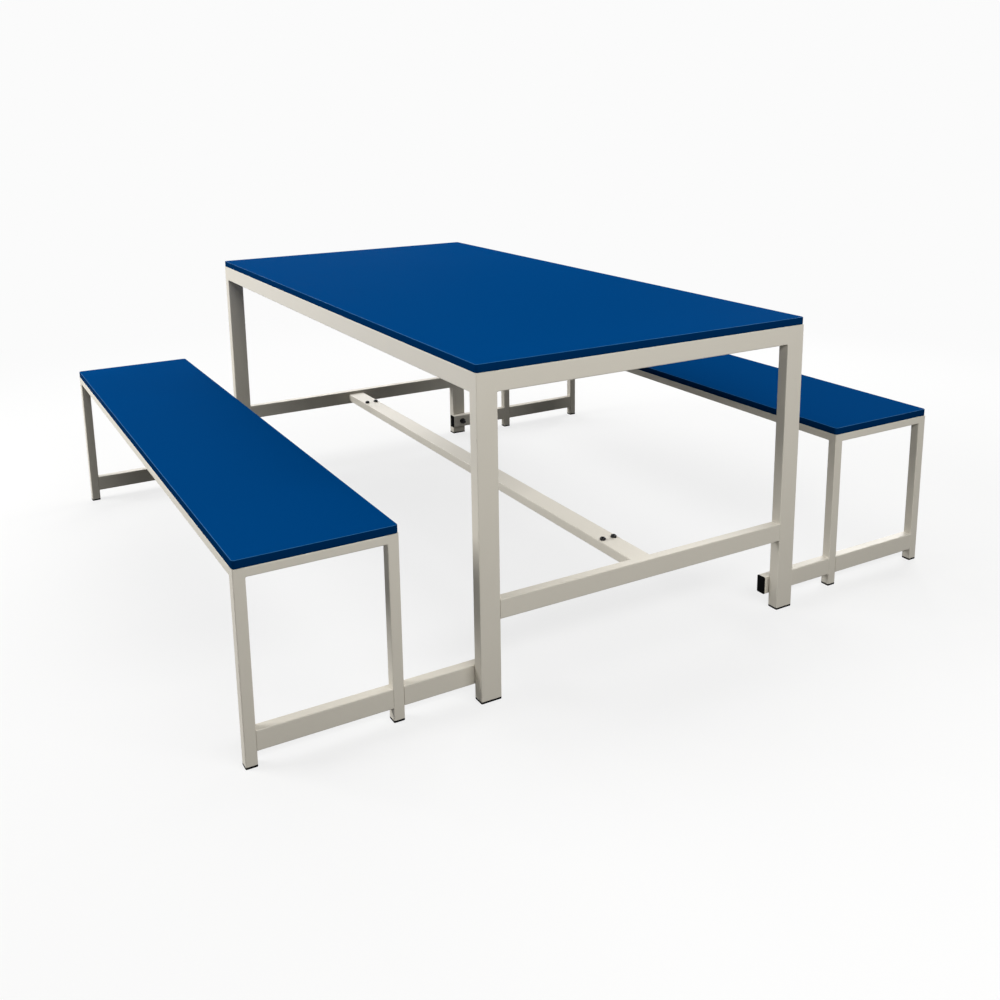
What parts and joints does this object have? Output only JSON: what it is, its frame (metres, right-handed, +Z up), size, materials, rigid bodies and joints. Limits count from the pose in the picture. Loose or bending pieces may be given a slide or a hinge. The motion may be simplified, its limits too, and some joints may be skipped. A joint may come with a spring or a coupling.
{
  "type": "canteen table with benches",
  "caption": "Canteen table with a bench along each long side: flat blue boards on welded steel tube frames, each bench carried on arms that turn on studs in the table legs.",
  "frame": {"origin": "on the floor, under the middle of the table top", "axes": "+X across the table from the left bench to the right bench, +Y along the table from the near end to the far end, +Z up"},
  "size_m": [1.91, 1.8, 0.75],
  "materials": {
    "blue_laminate": "satin blue laminate on board, with an eased edge of the same blue",
    "frame_paint": "satin warm grey powder coat on steel tube",
    "black_plastic": "matt moulded black plastic",
    "black_steel": "blackened steel"
  },
  "bodies": {
    "table": {"pivot_stud_far_left": "black_steel", "pivot_stud_far_right": "black_steel", "pivot_stud_near_left": "black_steel", "pivot_stud_near_right": "black_steel", "stretcher": "frame_paint", "stretcher_spigot_far": "black_steel", "stretcher_spigot_near": "black_steel", "table_end_rail_far": "frame_paint", "table_end_rail_near": "frame_paint", "table_foot_far_left": "black_plastic", "table_foot_far_right": "black_plastic", "table_foot_near_left": "black_plastic", "table_foot_near_right": "black_plastic", "table_leg_far_left": "frame_paint", "table_leg_far_right": "frame_paint", "table_leg_near_left": "frame_paint", "table_leg_near_right": "frame_paint", "table_lower_rail_far": "frame_paint", "table_lower_rail_near": "frame_paint", "table_side_rail_left": "frame_paint", "table_side_rail_right": "frame_paint", "table_top": "blue_laminate"},
    "left_bench": {"left_bench_arm_cap_far": "black_plastic", "left_bench_arm_cap_near": "black_plastic", "left_bench_arm_far": "frame_paint", "left_bench_arm_near": "frame_paint", "left_bench_foot_far_inner": "black_plastic", "left_bench_foot_far_outer": "black_plastic", "left_bench_foot_near_inner": "black_plastic", "left_bench_foot_near_outer": "black_plastic", "left_bench_leg_far_inner": "frame_paint", "left_bench_leg_far_outer": "frame_paint", "left_bench_leg_near_inner": "frame_paint", "left_bench_leg_near_outer": "frame_paint", "left_bench_lower_rail_far": "frame_paint", "left_bench_lower_rail_near": "frame_paint", "left_bench_seat": "blue_laminate", "left_bench_seat_end_rail_far": "frame_paint", "left_bench_seat_end_rail_near": "frame_paint", "left_bench_seat_side_rail_inner": "frame_paint", "left_bench_seat_side_rail_outer": "frame_paint"},
    "right_bench": {"right_bench_arm_cap_far": "black_plastic", "right_bench_arm_cap_near": "black_plastic", "right_bench_arm_far": "frame_paint", "right_bench_arm_near": "frame_paint", "right_bench_foot_far_inner": "black_plastic", "right_bench_foot_far_outer": "black_plastic", "right_bench_foot_near_inner": "black_plastic", "right_bench_foot_near_outer": "black_plastic", "right_bench_leg_far_inner": "frame_paint", "right_bench_leg_far_outer": "frame_paint", "right_bench_leg_near_inner": "frame_paint", "right_bench_leg_near_outer": "frame_paint", "right_bench_lower_rail_far": "frame_paint", "right_bench_lower_rail_near": "frame_paint", "right_bench_seat": "blue_laminate", "right_bench_seat_end_rail_far": "frame_paint", "right_bench_seat_end_rail_near": "frame_paint", "right_bench_seat_side_rail_inner": "frame_paint", "right_bench_seat_side_rail_outer": "frame_paint"}
  },
  "joints": [
    {"name": "left_bench_lift", "type": "hinge", "parent": "table", "child": "left_bench", "pos_m": [-0.425, 0, 0.0555], "axis": [0, 1, 0], "range_deg": [0, 50]},
    {"name": "right_bench_lift", "type": "hinge", "parent": "table", "child": "right_bench", "pos_m": [0.425, 0, 0.0555], "axis": [0, -1, 0], "range_deg": [0, 50]}
  ]
}
